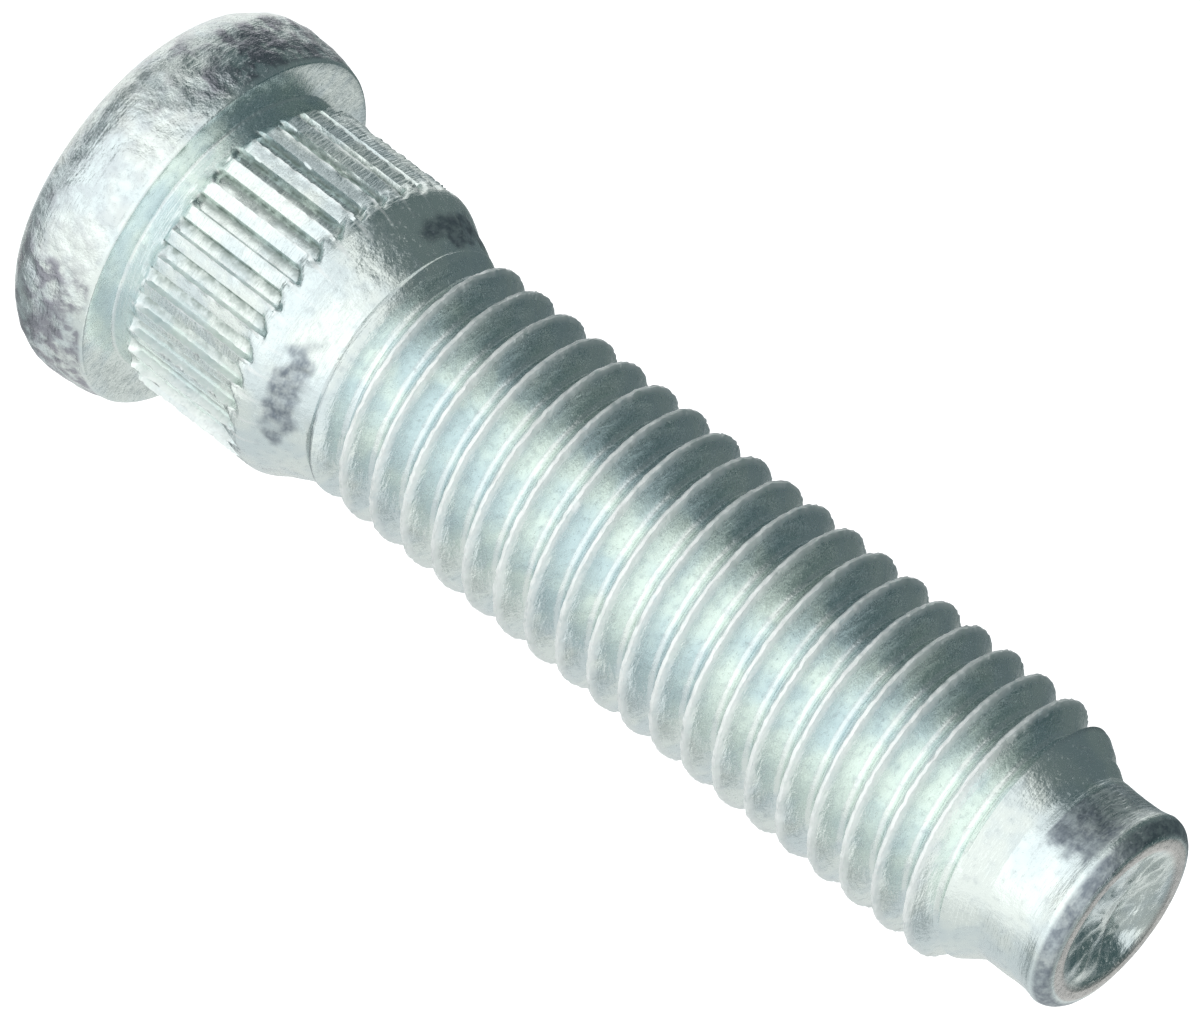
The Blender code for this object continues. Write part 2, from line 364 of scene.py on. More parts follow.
# Colours laid over the pale plate: the mark that holds each, its pattern, the pattern's range and the
# share at both ends of it, and the colour; without a pattern the share is even
PLATE_LAYERS = (
    (None, "patches", (0.4, 0.62, 0.0, 1.0), "cool_zinc"),
    (None, "mottle", (0.52, 0.72, 0.0, 0.35), "grey_zinc"),
    # Scorch colour, with painted shade to the left and right and a painted highlight rim on the head
    ("scorch", "lumps", (0.37, 0.6, 0.05, 0.88), "violet_zinc"),
    # Dull grooves, darkened further as painted shade
    ("groove", "mottle", (0.35, 0.6, 0.4, 0.9), "groove_zinc_and_shade"),
    # Painted shade along the head side of each crest
    ("back", None, 0.7, "dark_zinc_and_shade"),
    # Scuffed patches on the shoulder, and painted shade and a painted dark reflection on the dog point
    ("dark", "streaks", (0.32, 0.66, 0.5, 1.0), "dark_zinc_and_shade"),
    # Painted highlight on the crests and burred lips
    ("burr", "mottle", (0.3, 0.55, 0.35, 1.0), "bright_zinc"),
    ("rubbed", None, 0.7, "brown_zinc"),
)
ROUGH_MOTTLE = (0.35, 0.7, 0.15, 0.3)
ROUGH_SPECKS = (0.58, 0.68, 0.0, 0.28)
ROUGH_WORN = 0.14
ROUGH_BURRS = 0.34
RELIEF_GRAIN = 0.4
RELIEF_SCRATCHES = 1.2
RELIEF_FORGED = 6.0
BUMP_STRENGTH = 0.6
BUMP_DISTANCE = 0.04 * MM


class Stud:
    """Heights and radii that follow from the sizes of the stud."""

    def __init__(self, shape):
        self.shape = shape
        self.columns = shape.spline_count * len(SPLINE_COLUMNS)
        self.head_radius = shape.head_diameter / 2
        self.shank_radius = shape.shank_diameter / 2
        self.crest_radius = shape.thread_diameter / 2
        self.spline_start = shape.head_height + shape.neck_length
        self.spline_end = self.spline_start + shape.spline_length
        self.thread_start_radius = self.crest_radius - shape.thread_start_drop
        round_drop = shape.shoulder_round * (1.0 - cos(shape.shoulder_angle))
        cone_drop = self.shank_radius - round_drop - self.thread_start_radius
        self.cone_start = self.spline_end + shape.shoulder_round * sin(shape.shoulder_angle)
        self.thread_start = self.cone_start + cone_drop / tan(shape.shoulder_angle)
        self.thread_end = self.thread_start + shape.thread_length
        self.waist_radius = shape.point_diameter / 2 - shape.point_waist
        self.dish_radius = shape.point_diameter / 2 - shape.point_rim_round - shape.point_end_flat
        self.length = self.thread_end + shape.point_length


def arc(centre_radius, centre_height, arc_radius, start, end, steps):
    """Points (radius, height) of an arc in the turned profile; angle 0 points away from the axis."""
    points = []
    for step in range(steps + 1):
        turn = start + (end - start) * step / steps
        points.append((centre_radius + arc_radius * cos(turn), centre_height + arc_radius * sin(turn)))
    return points


def span(start, end, steps):
    """Points evenly spread between two points, without the first."""
    return [
        tuple(a + (b - a) * step / steps for a, b in zip(start, end)) for step in range(1, steps + 1)
    ]


def head_profile(stud):
    """The head's profile from the rim of its flat top to the neck."""
    shape = stud.shape

    def side_arc(rise, draw_in):
        arc_radius = (rise ** 2 + draw_in ** 2) / (2.0 * draw_in)
        sweep = 2.0 * atan2(draw_in, rise)
        return arc(
            stud.head_radius - arc_radius,
            shape.head_widest_height,
            arc_radius,
            0.0,
            sweep,
            HEAD_SIDE_STEPS,
        )

    top_round = [
        (radius, 2.0 * shape.head_widest_height - height)
        for radius, height in side_arc(shape.head_widest_height, shape.head_top_draw_in)
    ]
    side_rise = shape.head_height - shape.bearing_edge_break - shape.head_widest_height
    side = side_arc(side_rise, shape.head_side_draft)
    edge_radius = side[-1][0]
    edge_break = arc(
        edge_radius - shape.bearing_edge_break,
        shape.head_height - shape.bearing_edge_break,
        shape.bearing_edge_break,
        0.0,
        pi / 2,
        EDGE_BREAK_STEPS,
    )
    fillet = arc(
        stud.shank_radius + shape.neck_fillet,
        shape.head_height + shape.neck_fillet,
        shape.neck_fillet,
        -pi / 2,
        -pi,
        FILLET_STEPS,
    )
    bearing_face = span(edge_break[-1], fillet[0], BEARING_FACE_STEPS)
    return top_round[::-1] + side[1:] + edge_break[1:] + bearing_face + fillet[1:]


def shank_profile(stud):
    """Plain rings of the neck, the splined length and the shoulder, on the blank's diameter."""
    shape = stud.shape
    neck_start = (stud.shank_radius, shape.head_height + shape.neck_fillet)
    spline_start = (stud.shank_radius, stud.spline_start)
    run_in_end = (stud.shank_radius, stud.spline_start + SPLINE_RUN_IN)
    run_out_start = (stud.shank_radius, stud.spline_end - SPLINE_RUN_OUT)
    spline_end = (stud.shank_radius, stud.spline_end)
    shoulder = arc(
        stud.shank_radius - shape.shoulder_round,
        stud.spline_end,
        shape.shoulder_round,
        0.0,
        shape.shoulder_angle,
        SHOULDER_STEPS,
    )
    cone = span(shoulder[-1], (stud.thread_start_radius, stud.thread_start), CONE_STEPS)
    return (
        span(neck_start, spline_start, NECK_STEPS)
        + span(spline_start, run_in_end, RUN_IN_STEPS)
        + span(run_in_end, run_out_start, SPLINE_STEPS)
        + span(run_out_start, spline_end, RUN_OUT_STEPS)
        + shoulder[1:]
        + cone
    )


def point_profile(stud):
    """The dog point's profile from its waist to the floor of its dish."""
    shape = stud.shape
    rim_radius = shape.point_diameter / 2 - shape.point_rim_round
    rim_height = stud.length - shape.point_rim_round
    flare_start = rim_height - shape.point_flare_length
    waist_start = (stud.waist_radius, stud.thread_end)
    waist = span(waist_start, (stud.waist_radius, flare_start), WAIST_STEPS)
    flare = []
    for step in range(1, FLARE_STEPS):
        share = step / FLARE_STEPS
        flare.append(
            (
                stud.waist_radius + shape.point_waist * share ** 2,
                flare_start + shape.point_flare_length * share,
            )
        )
    rim = arc(rim_radius, rim_height, shape.point_rim_round, 0.0, pi / 2, RIM_STEPS)
    end_flat = span(rim[-1], (stud.dish_radius, stud.length), END_FLAT_STEPS)[:-1]
    dish = []
    for step in range(DISH_STEPS - 1):
        dish.append((stud.dish_radius * (1.0 - step / DISH_STEPS), stud.length))
    return [waist_start] + waist + flare + rim + end_flat + dish


def thread_section(stud):
    """One turn of the thread's section around a crest: height from its centre, and depth."""
    shape = stud.shape
    half_pitch = shape.thread_pitch / 2
    crest_half = shape.thread_pitch * CREST_HALF_SHARE
    sharp_depth = (half_pitch - crest_half) / tan(FLANK_ANGLE)
    root_depth = sharp_depth - shape.thread_root_radius * (1.0 / sin(FLANK_ANGLE) - 1.0)
    root = []
    for angle in ROOT_ARC:
        root.append(
            (
                half_pitch - shape.thread_root_radius * sin(angle),
                root_depth - shape.thread_root_radius * (1.0 - cos(angle)),
            )
        )
    flank = span((crest_half, 0.0), root[0], FLANK_STEPS)[:-1]
    half = [(0.0, 0.0), (crest_half, 0.0)] + flank + root
    return [(-height, depth) for height, depth in half[:0:-1]] + half


def deselect_objects():
    """Deselect every object, because the loaded stud is selected."""
    bpy.ops.object.select_all(action="DESELECT")


def extrude_rings(profile):
    """Extrude the selected ring through a turned profile, with one new ring for each point."""
    for (radius, height), (next_radius, next_height) in zip(profile, profile[1:]):
        rise = (0.0, 0.0, next_height - height)
        bpy.ops.mesh.extrude_region_move(TRANSFORM_OT_translate={"value": rise})
        scale = next_radius / radius
        bpy.ops.transform.resize(value=(scale, scale, 1.0), center_override=(0.0, 0.0, next_height))


def turned_piece(name, columns, profile, close_start, close_end):
    """A turned length: a circle extruded through its profile, closed at the ends that are asked for."""
    deselect_objects()
    radius, height = profile[0]
    bpy.ops.mesh.primitive_circle_add(vertices=columns, radius=radius, location=(0.0, 0.0, height))
    piece = bpy.context.object
    piece.name = name
    bpy.ops.object.transform_apply(location=True, rotation=True, scale=True)
    bpy.ops.object.mode_set(mode="EDIT")
    bpy.ops.mesh.select_mode(type="EDGE")
    bpy.ops.mesh.select_all(action="SELECT")
    if close_start:
        bpy.ops.mesh.duplicate()
        bpy.ops.mesh.edge_face_add()
        bpy.ops.mesh.select_all(action="INVERT")
    extrude_rings(profile)
    if close_end:
        bpy.ops.mesh.edge_face_add()
    bpy.ops.mesh.select_all(action="SELECT")
    bpy.ops.mesh.remove_doubles(threshold=WELD)
    bpy.ops.object.mode_set(mode="OBJECT")
    return piece


def sweep_thread(stud):
    """One turn of the thread's section, swept up the helix from below its start to past its end."""
    shape = stud.shape
    section = thread_section(stud)
    phase = -shape.thread_start_angle / TURN
    turns = int(shape.thread_length / shape.thread_pitch) + THREAD_MARGIN_TURNS + 1
    first_crest = stud.thread_start + shape.thread_pitch * (phase - 1.0)
    corners = [
        Vector((stud.crest_radius - depth, 0.0, first_crest + height)) for height, depth in section
    ]
    deselect_objects()
    bpy.ops.mesh.primitive_plane_add(size=shape.thread_pitch, location=(0.0, 0.0, 0.0))
    thread = bpy.context.object
    thread.name = "thread"
    bpy.ops.object.mode_set(mode="EDIT")
    bpy.ops.mesh.select_mode(type="VERT")
    bpy.ops.mesh.select_all(action="SELECT")
    bpy.ops.mesh.merge(type="CENTER")
    bpy.ops.transform.translate(value=corners[0])
    for corner, next_corner in zip(corners, corners[1:]):
        move = next_corner - corner
        bpy.ops.mesh.extrude_vertices_move(TRANSFORM_OT_translate={"value": move})
    bpy.ops.object.mode_set(mode="OBJECT")
    screw = thread.modifiers.new("Helix", "SCREW")
    screw.axis = "Z"
    screw.angle = TURN
    screw.screw_offset = shape.thread_pitch
    screw.iterations = turns
    screw.steps = THREAD_COLUMNS
    screw.render_steps = THREAD_COLUMNS
    bpy.ops.object.modifier_apply(modifier=screw.name)
    return thread


def thread_piece(stud):
    """The thread: swept up the helix, run in from the shoulder, chamfered, and cut at both ends."""
    shape = stud.shape
    thread = sweep_thread(stud)
    points = read_points(thread.data)
    radius = radii(points)
    height = points[:, 2]
    growth = np.clip((height - stud.thread_start) / shape.thread_run_in, 0.0, 1.0) ** THREAD_GROWTH
    grown = stud.thread_start_radius + (radius - stud.thread_start_radius) * growth
    to_waist = stud.thread_end - CHAMFER_END_GAP - height
    chamfer = stud.waist_radius + to_waist * tan(shape.thread_end_angle)
    scale_radii(points, np.minimum(grown, np.maximum(chamfer, stud.waist_radius)) / radius)
    write_points(thread.data, points)

    bpy.ops.object.mode_set(mode="EDIT")
    bpy.ops.mesh.select_all(action="SELECT")
    bpy.ops.mesh.remove_doubles(threshold=WELD)
    for cut_height, keep_above in (
        (stud.thread_start + THREAD_END_GAP, True),
        (stud.thread_end - THREAD_END_GAP, False),
    ):
        bpy.ops.mesh.select_all(action="SELECT")
        bpy.ops.mesh.bisect(
            plane_co=(0.0, 0.0, cut_height),
            plane_no=(0.0, 0.0, 1.0),
            clear_inner=keep_above,
            clear_outer=not keep_above,
            threshold=WELD,
        )
    bpy.ops.object.mode_set(mode="OBJECT")
    return thread


def select_open_edges(piece, low, high):
    """In edit mode, select the open edges of a piece between two heights."""
    mesh = bmesh.from_edit_mesh(piece.data)
    found = 0
    for edge in mesh.edges:
        inside = all(low <= vert.co.z <= high for vert in edge.verts)
        chosen = inside and edge.is_boundary
        edge.select_set(chosen)
        found += chosen
    bmesh.update_edit_mesh(piece.data)
    return found


def join_pieces(pieces, stud):
    """Join the turned lengths and the thread, and bridge the two gaps between them."""
    deselect_objects()
    for piece in pieces:
        piece.select_set(True)
    whole = pieces[0]
    bpy.context.view_layer.objects.active = whole
    bpy.ops.object.join()
    bpy.ops.object.mode_set(mode="EDIT")
    bpy.ops.mesh.select_mode(type="EDGE")
    for centre in (stud.thread_start, stud.thread_end):
        bpy.ops.mesh.select_all(action="DESELECT")
        if not select_open_edges(whole, centre - 2 * THREAD_END_GAP, centre + 2 * THREAD_END_GAP):
            raise RuntimeError("an end of the thread has no open edges to bridge")
        bpy.ops.mesh.bridge_edge_loops()
    bpy.ops.mesh.select_all(action="SELECT")
    bpy.ops.mesh.normals_make_consistent(inside=False)
    bpy.ops.object.mode_set(mode="OBJECT")
    return whole


def smooth(low, high, value):
    """0 below low, 1 above high, and a smooth step between them, for arrays too."""
    share = np.clip((value - low) / (high - low), 0.0, 1.0)
    return share * share * (3.0 - 2.0 * share)


def noise_at(points, size, seed):
    """Smooth noise from -1 to 1 at each point, with lumps of the given size."""
    offset = Vector([seed * step for step in SEED_STEPS])
    return np.array([noise.noise(Vector(point) / size + offset) for point in points])


def grain_at(points, size, seed, octaves):
    """Fractal noise at each point, from lumps of the given size down to finer ones."""
    total = np.zeros(len(points))
    for octave in range(octaves):
        total += noise_at(points, size / 2 ** octave, seed + octave) / 2 ** octave
    return total / GRAIN_SPAN


def read_points(mesh):
    """The mesh's vertices as an array."""
    points = np.empty(len(mesh.vertices) * 3)
    mesh.vertices.foreach_get("co", points)
    return points.reshape(-1, 3)


def write_points(mesh, points):
    """Put the mesh's vertices where an array says."""
    mesh.vertices.foreach_set("co", points.ravel())


def radii(points):
    """The distance of each point from the axis."""
    return np.hypot(points[:, 0], points[:, 1])


def scale_radii(points, scale):
    """Multiply the distance of each point from the axis."""
    points[:, 0] *= scale
    points[:, 1] *= scale


def turn_from_front(points):
    """The angle of each point round the axis, from the camera's side towards -X."""
    return (FRONT_ANGLE - np.arctan2(points[:, 1], points[:, 0]) + pi) % TURN - pi


def keep_marks(mesh, marks):
    """Keep named shares from 0 to 1 on the vertices, for the finish to read."""
    for name, values in marks.items():
        attribute = mesh.attributes.new(name, "FLOAT", "POINT")
        attribute.data.foreach_set("value", np.clip(values, 0.0, 1.0).astype(np.float32))


def roll_splines(stud, points):
    """Move the blank's rings into the splines; gives the share of groove and of lip at each point."""
    shape = stud.shape
    angle = np.arctan2(points[:, 1], points[:, 0]) % TURN
    radius = radii(points)
    height = points[:, 2]
    from_start = height - stud.spline_start
    to_end = stud.spline_end - height
    past_neck = height > stud.spline_start - SHANK_BEFORE_SPLINES
    on_shank = past_neck & (height < stud.spline_end + SHANK_PAST_SPLINES)

    # Columns crowd at the groove's walls and spread out evenly again beyond the splines
    column = np.rint(angle / TURN * stud.columns).astype(int)
    spline = column // len(SPLINE_COLUMNS)
    even = (column % len(SPLINE_COLUMNS)) / len(SPLINE_COLUMNS)
    place = np.array(SPLINE_COLUMNS)[column % len(SPLINE_COLUMNS)]
    crowded = np.minimum(smooth(*COLUMNS_START, from_start), smooth(*COLUMNS_END, to_end))
    moved = (spline + even + (place - even) * crowded) / shape.spline_count * TURN

    around = np.stack([np.cos(moved), np.sin(moved), height / SPLINE_NOISE_HEIGHT], axis=1)
    ragged, tear, jag = [
        noise_at(around * (1.0, 1.0, squeeze), size, seed) for squeeze, size, seed in SPLINE_NOISES
    ]
    ragged = ragged * RAGGED_END

    land = np.minimum(smooth(*LAND_START, from_start + ragged), smooth(*LAND_END, to_end))
    hooked = place - HOOK_SHARE * (1.0 - smooth(*HOOK_END, to_end))
    slant = (hooked - 0.5) * GROOVE_END_SLANT
    lag = GROOVE_START_LAG * np.clip(hooked - GROOVE_LAG_PLACE, 0.0, GROOVE_LAG_WIDTH)
    groove = np.minimum(
        smooth(*GROOVE_START, from_start + ragged * RAGGED_START_GAIN - lag),
        smooth(*GROOVE_END, to_end + slant + ragged),
    )
    wall = smooth(*GROOVE_WALL, hooked + GROOVE_WALL_JAG * jag)
    slope_start, slope_end = GROOVE_SLOPE
    up_slope = (hooked + GROOVE_SLOPE_JAG * jag - slope_start) / (slope_end - slope_start)
    depth = np.minimum(wall, 1.0 - np.clip(up_slope, 0.0, 1.0))
    lip = np.exp(-((hooked - LIP_PLACE) / LIP_WIDTH) ** 2)
    fall = ((place - LIP_PLACE) % 1.0) * (1.0 - depth)

    level = shape.spline_rise * land
    level = level - (level + shape.spline_sink) * depth * groove
    level = level + lip * land * groove * (LIP_RISE + LIP_TEAR * tear)
    level = level - land * groove * (LAND_FALL * fall + LAND_JAG * np.abs(jag))
    level = np.minimum(level, shape.spline_rise + LIP_LIMIT)
    radius = np.where(on_shank, radius + level, radius)
    angle = np.where(on_shank, moved, angle) - SPLINE_TURN * TURN / shape.spline_count
    points[:, 0] = radius * np.cos(angle)
    points[:, 1] = radius * np.sin(angle)
    return on_shank * depth * groove, on_shank * lip * land


def shoulder_patches(points, past, front, band):
    """The stains on the shoulder, as a share at each point."""
    fray = STAIN_FRAY * noise_at(points, 0.9 * MM, 49)
    patches = band * smooth(*FAR_STAINS, noise_at(points, 3.0 * MM, 43))
    patches = patches * smooth(*FAR_SIDE, np.abs(front))
    for turn, along, half_width, half_length in SHOULDER_STAINS:
        away = ((front - turn) / half_width) ** 2 + ((past - along) / half_length) ** 2
        patches = patches + 1.0 - smooth(*STAIN_EDGE, away + fray)
    return np.clip(patches, 0.0, 1.0)


def shape_body(stud, body):
    """Roll the splines, rough up the forged head and the shoulder, and keep their marks and the head's
    painted light.
    """
    shape = stud.shape
    points = read_points(body.data)
    groove, lip = roll_splines(stud, points)
    radius = radii(points)
    height = points[:, 2]
    front = turn_from_front(points)

    on_side = smooth(*FORGED_START, height)
    on_side = on_side * (1.0 - smooth(*FORGED_END, height - shape.head_height))
    forged = FORGED_DEPTH
    for size, seed, lump_depth in FORGED_LUMPS:
        forged = forged + lump_depth * noise_at(points, size, seed)
    sunk = np.clip(forged, 0.0, FORGED_DEEPEST) * on_side

    past = height - stud.spline_end
    frayed = past + BAND_FRAY * noise_at(points, 0.8 * MM, 47)
    band = smooth(*BAND_START, frayed) * (1.0 - smooth(*BAND_END, frayed)) * (past < BAND_LIMIT)
    patches = shoulder_patches(points, past, front, band)
    torn = BAND_TEAR * grain_at(points, 0.6 * MM, 31, 3) * (BAND_PLAIN_TEAR + patches)
    sunk = sunk + band * np.clip(BAND_DEPTH + torn, 0.0, BAND_DEEPEST)

    # The scorch colour: painted shade where it is strong to the left and right, and a painted highlight
    # rim round the flat top
    wander = PAINTED_LIGHT_WANDER * noise_at(points, 1.3 * MM, 45)
    side_shade = np.maximum(smooth(*SIDE_SHADE_LEFT, front + wander), smooth(*SIDE_SHADE_RIGHT, -front - wander))
    rim_highlight = 1.0 - smooth(*RIM_HIGHLIGHT_HEIGHT, height + wander * MM)
    rim_highlight = rim_highlight * smooth(*RIM_HIGHLIGHT_TURN, front)
    scorch = on_side * (SCORCH_IN_FRONT + (1.0 - SCORCH_IN_FRONT) * side_shade)
    scorch = scorch * (1.0 - RIM_HIGHLIGHT_SHARE * rim_highlight)

    scale_radii(points, (radius - sunk) / radius)
    write_points(body.data, points)
    marks = {
        "groove": groove,
        "lip": lip,
        "dark": patches,
        "forged": on_side + BAND_ROUGHNESS * band,
        "scorch": scorch,
    }
    keep_marks(body.data, marks)


def shape_thread(stud, thread):
    """Roughen the rolled crests, and mark them and the painted shade line on their head side."""
    shape = stud.shape
    points = read_points(thread.data)
    radius = radii(points)
    height = points[:, 2].copy()
    depth = stud.crest_radius - radius
    ends = smooth(*CREST_ENDS, height - stud.thread_start)
    ends = ends * smooth(*CREST_ENDS, stud.thread_end - height)
    crest = (1.0 - smooth(*CREST_EDGE, depth)) * ends
    turn = np.arctan2(points[:, 1], points[:, 0]) - shape.thread_start_angle
    phase = ((height - stud.thread_start) / shape.thread_pitch - turn / TURN + 0.5) % 1.0 - 0.5
    # Painted shade: a dark line along the head side of each crest
    back = (phase < 0.0) * smooth(*FLANK_SHADE_START, depth) * (1.0 - smooth(*FLANK_SHADE_END, depth)) * ends

    ragged = CREST_TEAR * grain_at(points, 0.4 * MM, 51, 2)
    sunk = crest * np.clip(CREST_DEPTH + ragged, 0.0, CREST_DEEPEST)
    wander = crest * noise_at(points, 0.35 * MM, 61) * CREST_WANDER
    scale_radii(points, (radius - sunk) / radius)
    points[:, 2] += wander
    write_points(thread.data, points)
    keep_marks(thread.data, {"crest": crest, "back": back})


def shape_point(stud, point):
    """Sink the dish into the end, roughen the dog point, and mark its painted shade and reflection and
    the ring.
    """
    shape = stud.shape
    points = read_points(point.data)
    radius = radii(points)
    outside = radius > stud.dish_radius
    share = radius / stud.dish_radius
    on_end = points[:, 2] > stud.length - END_FACE
    floor = 1.0 - smooth(*DISH_FLOOR, share)
    fine_creases = FINE_CREASES * np.abs(noise_at(points, 1.1 * MM, 73))
    creases = CREASE_DEPTH * (noise_at(points, 2.4 * MM, 71) + fine_creases) - CREASE_LIFT
    bowl = shape.dish_depth * (1.0 - np.clip(share, 0.0, 1.0) ** DISH_ROUND)
    points[:, 2] -= on_end * (bowl + floor * creases)
    points[:, 2] = np.minimum(points[:, 2], stud.length)

    past = points[:, 2] - stud.thread_end
    from_end = stud.length - points[:, 2]
    lumps = POINT_LUMPS * grain_at(points, 1.5 * MM, 81, 3)
    sunk = np.clip(POINT_DEPTH + lumps, 0.0, POINT_DEEPEST)
    sunk = sunk * smooth(*POINT_SIDE_START, past) * outside
    scale_radii(points, (radius - sunk) / np.maximum(radius, WELD))
    write_points(point.data, points)

    # Painted shade on the band round the rim, and a painted dark reflection beside the camera's side
    # towards -X
    rim_shade = smooth(*RIM_SHADE_START, from_end) * (1.0 - smooth(*RIM_SHADE_END, from_end)) * outside
    front = turn_from_front(points)
    wander = POINT_REFLECTION_WANDER * noise_at(points, 0.5 * MM, 85)
    dark_reflection = smooth(*POINT_REFLECTION_NEAR, front + wander) * (1.0 - smooth(*POINT_REFLECTION_FAR, front))
    dark_reflection = dark_reflection * (1.0 - POINT_REFLECTION_THIN * smooth(*POINT_REFLECTION_MIDDLE, front))
    dark_reflection = dark_reflection * smooth(*POINT_REFLECTION_START, past)
    dark_reflection = dark_reflection * (1.0 - smooth(*POINT_REFLECTION_END, past + POINT_REFLECTION_END_WANDER * wander))
    rubbed = on_end * smooth(*RUBBED_RING, share)
    keep_marks(point.data, {"rubbed": rubbed, "dark": np.maximum(dark_reflection, rim_shade)})


def node(tree, kind, inputs=None, **settings):
    """Add a shader node with its settings and its inputs, each a value or another node's output."""
    made = tree.nodes.new(kind)
    for name, value in settings.items():
        setattr(made, name, value)
    for name, value in (inputs or {}).items():
        if isinstance(value, bpy.types.NodeSocket):
            tree.links.new(value, made.inputs[name])
        else:
            made.inputs[name].default_value = value
    return made


def math_node(tree, operation, first, second, clamp=False):
    """The result of a math node."""
    made = node(tree, "ShaderNodeMath", {0: first, 1: second}, operation=operation, use_clamp=clamp)
    return made.outputs[0]


def ramp(tree, value, low, high, start, end):
    """A value mapped smoothly from one range to another, and held at its ends."""
    made = node(
        tree,
        "ShaderNodeMapRange",
        {"Value": value, "From Min": low, "From Max": high, "To Min": start, "To Max": end},
        interpolation_type="SMOOTHSTEP",
    )
    return made.outputs["Result"]


def blend_colours(tree, share, first, second):
    """Two colours mixed by a share; each is an output or a plain colour."""
    made = node(tree, "ShaderNodeMix", {"Factor": share}, data_type="RGBA")
    for name, value in (("A", first), ("B", second)):
        socket = [i for i in made.inputs if i.name == name and i.type == "RGBA"][0]
        if isinstance(value, bpy.types.NodeSocket):
            tree.links.new(value, socket)
        else:
            socket.default_value = (*value, 1.0)
    return [o for o in made.outputs if o.type == "RGBA"][0]


def noise_output(tree, place, scale, detail, roughness, stretch):
    """A noise pattern from 0 to 1 on the given coordinates, with scale in lumps a metre."""
    if stretch:
        place = node(
            tree, "ShaderNodeVectorMath", {0: place, 1: stretch}, operation="MULTIPLY"
        ).outputs["Vector"]
    made = node(
        tree,
        "ShaderNodeTexNoise",
        {"Vector": place, "Scale": scale, "Detail": detail, "Roughness": roughness},
    )
    return made.outputs["Fac"]


def mark(tree, name):
    """One of the shares kept on the skin's vertices."""
    return node(tree, "ShaderNodeAttribute", attribute_name=name).outputs["Fac"]


def zinc_plate(finish):
    """Bright zinc plate: mottled, finely grained, with dull grooves, painted shade in them and painted
    highlights on edges.
    """
    material = bpy.data.materials.new("bright_zinc_plate")
    material.use_nodes = True
    tree = material.node_tree
    shader = tree.nodes["Principled BSDF"]
    shader.inputs["Metallic"].default_value = 1.0
    place = node(tree, "ShaderNodeTexCoord").outputs["Object"]

    patterns = {name: noise_output(tree, place, *values) for name, values in PLATE_PATTERNS.items()}
    marks = {name: mark(tree, name) for name in PLATE_MARKS}
    marks["burr"] = math_node(tree, "ADD", marks["crest"], marks["lip"], clamp=True)

    colour_now = tuple(finish.pale_zinc)
    for mark_name, pattern_name, share, colour_name in PLATE_LAYERS:
        if pattern_name:
            share = ramp(tree, patterns[pattern_name], *share)
        if mark_name:
            share = math_node(tree, "MULTIPLY", marks[mark_name], share)
        colour_now = blend_colours(tree, share, colour_now, tuple(getattr(finish, colour_name)))
    tree.links.new(colour_now, shader.inputs["Base Color"])

    worn = math_node(tree, "ADD", marks["groove"], marks["dark"], clamp=True)
    rough = ramp(tree, patterns["mottle"], *ROUGH_MOTTLE)
    for added in (
        math_node(tree, "MULTIPLY", worn, ROUGH_WORN),
        math_node(tree, "MULTIPLY", marks["burr"], ROUGH_BURRS),
        ramp(tree, patterns["specks"], *ROUGH_SPECKS),
    ):
        rough = math_node(tree, "ADD", rough, added)
    tree.links.new(rough, shader.inputs["Roughness"])

    forged_lumps = math_node(tree, "MULTIPLY", patterns["lumps"], marks["forged"])
    relief = patterns["mottle"]
    for pattern, height in (
        (patterns["grain"], RELIEF_GRAIN),
        (patterns["scratches"], RELIEF_SCRATCHES),
        (forged_lumps, RELIEF_FORGED),
    ):
        relief = math_node(tree, "ADD", relief, math_node(tree, "MULTIPLY", pattern, height))
    bump = node(
        tree,
        "ShaderNodeBump",
        {"Strength": BUMP_STRENGTH, "Distance": BUMP_DISTANCE, "Height": relief},
    )
    tree.links.new(bump.outputs["Normal"], shader.inputs["Normal"])
    return material


def plain_material(name, base_colour, roughness):
    """A plain matt material for the stage."""
    material = bpy.data.materials.new(name)
    material.use_nodes = True
    shader = material.node_tree.nodes["Principled BSDF"]
    shader.inputs["Base Color"].default_value = (*base_colour, 1.0)
    shader.inputs["Roughness"].default_value = roughness
    return material


def studio_direction(azimuth, elevation):
    """The unit vector at an azimuth, from the camera's side towards -X, and an elevation."""
    across = cos(elevation)
    return Vector((-sin(azimuth) * across, -cos(azimuth) * across, sin(elevation)))


def studio_world(studio):
    """A plain white studio all round, which the camera and the metal both see."""
    world = bpy.data.worlds.new("studio_world")
    world.use_nodes = True
    background = world.node_tree.nodes["Background"]
    background.inputs["Color"].default_value = (1.0, 1.0, 1.0, 1.0)
    background.inputs["Strength"].default_value = studio.world_level
    bpy.context.scene.world = world


def studio_floor(studio):
    """A pale matt floor that shows white and keeps the stud's shadow."""
    deselect_objects()
    bpy.ops.mesh.primitive_plane_add(size=studio.floor_size, location=(0.0, 0.0, 0.0))
    floor = bpy.context.object
    floor.name = "studio_floor"
    bpy.ops.object.mode_set(mode="EDIT")
    bpy.ops.mesh.subdivide(number_cuts=FLOOR_CUTS)
    bpy.ops.object.mode_set(mode="OBJECT")
    material = plain_material("pale_floor", tuple(studio.floor_colour), FLOOR_ROUGHNESS)
    tree = material.node_tree
    shader = tree.nodes["Principled BSDF"]
    rays = node(tree, "ShaderNodeLightPath").outputs
    seen = math_node(tree, "MAXIMUM", rays["Is Camera Ray"], rays["Is Glossy Ray"])
    seen = math_node(tree, "MAXIMUM", seen, rays["Is Transmission Ray"])
    shader.inputs["Emission Color"].default_value = (1.0, 1.0, 1.0, 1.0)
    lift = math_node(tree, "MULTIPLY", seen, studio.floor_lift)
    tree.links.new(lift, shader.inputs["Emission Strength"])
    floor.data.materials.append(material)
    floor.visible_glossy = False
    floor.visible_shadow = False


